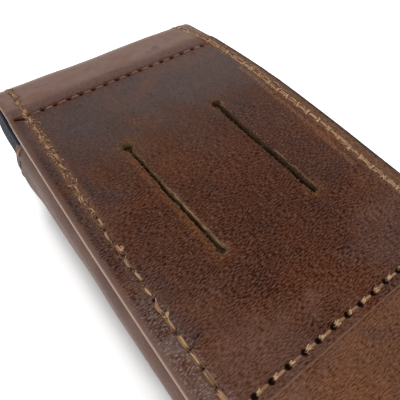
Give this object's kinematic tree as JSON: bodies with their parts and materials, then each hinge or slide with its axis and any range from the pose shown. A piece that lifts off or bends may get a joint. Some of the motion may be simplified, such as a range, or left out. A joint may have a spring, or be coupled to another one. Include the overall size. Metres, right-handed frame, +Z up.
{
  "type": "glasses case",
  "caption": "Stitched leather glasses case with a wrap-over flap held by hidden magnets, turned-edge side walls and two slots in the back for a belt.",
  "frame": {"origin": "middle of the footprint, on the surface that the case lies on; the case lies on its front, so the outer face of the flap is at z = 0", "axes": "+Z up out of the back, which has the belt slots; +Y towards the end that the cover folds over; +X across the case"},
  "size_m": [0.0836, 0.164, 0.0402],
  "materials": {
    "leather": "waxed, soft sheen",
    "side_leather": "smooth satin",
    "lining": "napped microfibre",
    "board": "grey board",
    "magnet": "plated disc",
    "thread": "waxed thread"
  },
  "bodies": {
    "case": {"back_cover": "leather", "inner_back": "leather", "front_panel": "leather", "gusset": "side_leather", "back_board": "board", "front_board": "board", "gusset_board": "board", "back_lining": "lining", "front_lining": "lining", "gusset_lining": "lining", "front_magnets": "magnet", "mouth_tabs": "lining", "back_seam": "thread", "top_row_seam": "thread", "bottom_row_seam": "thread", "front_seam": "thread", "mouth_seam": "thread", "gusset_hem_seams": "thread"},
    "bridge": {"bridge_cover": "leather", "bridge_lining": "lining", "bridge_seams": "thread"},
    "flap": {"flap_cover": "leather", "flap_board": "board", "flap_lining": "lining", "flap_magnets": "magnet", "flap_seam": "thread"}
  },
  "joints": [
    {"name": "back_fold", "type": "hinge", "parent": "case", "child": "bridge", "pos_m": [0, 0.07966, 0.03786], "axis": [1, 0, 0], "range_deg": [0, 90]},
    {"name": "front_fold", "type": "hinge", "parent": "bridge", "child": "flap", "pos_m": [0, 0.07966, 0.00234], "axis": [1, 0, 0], "range_deg": [0, 90]}
  ]
}
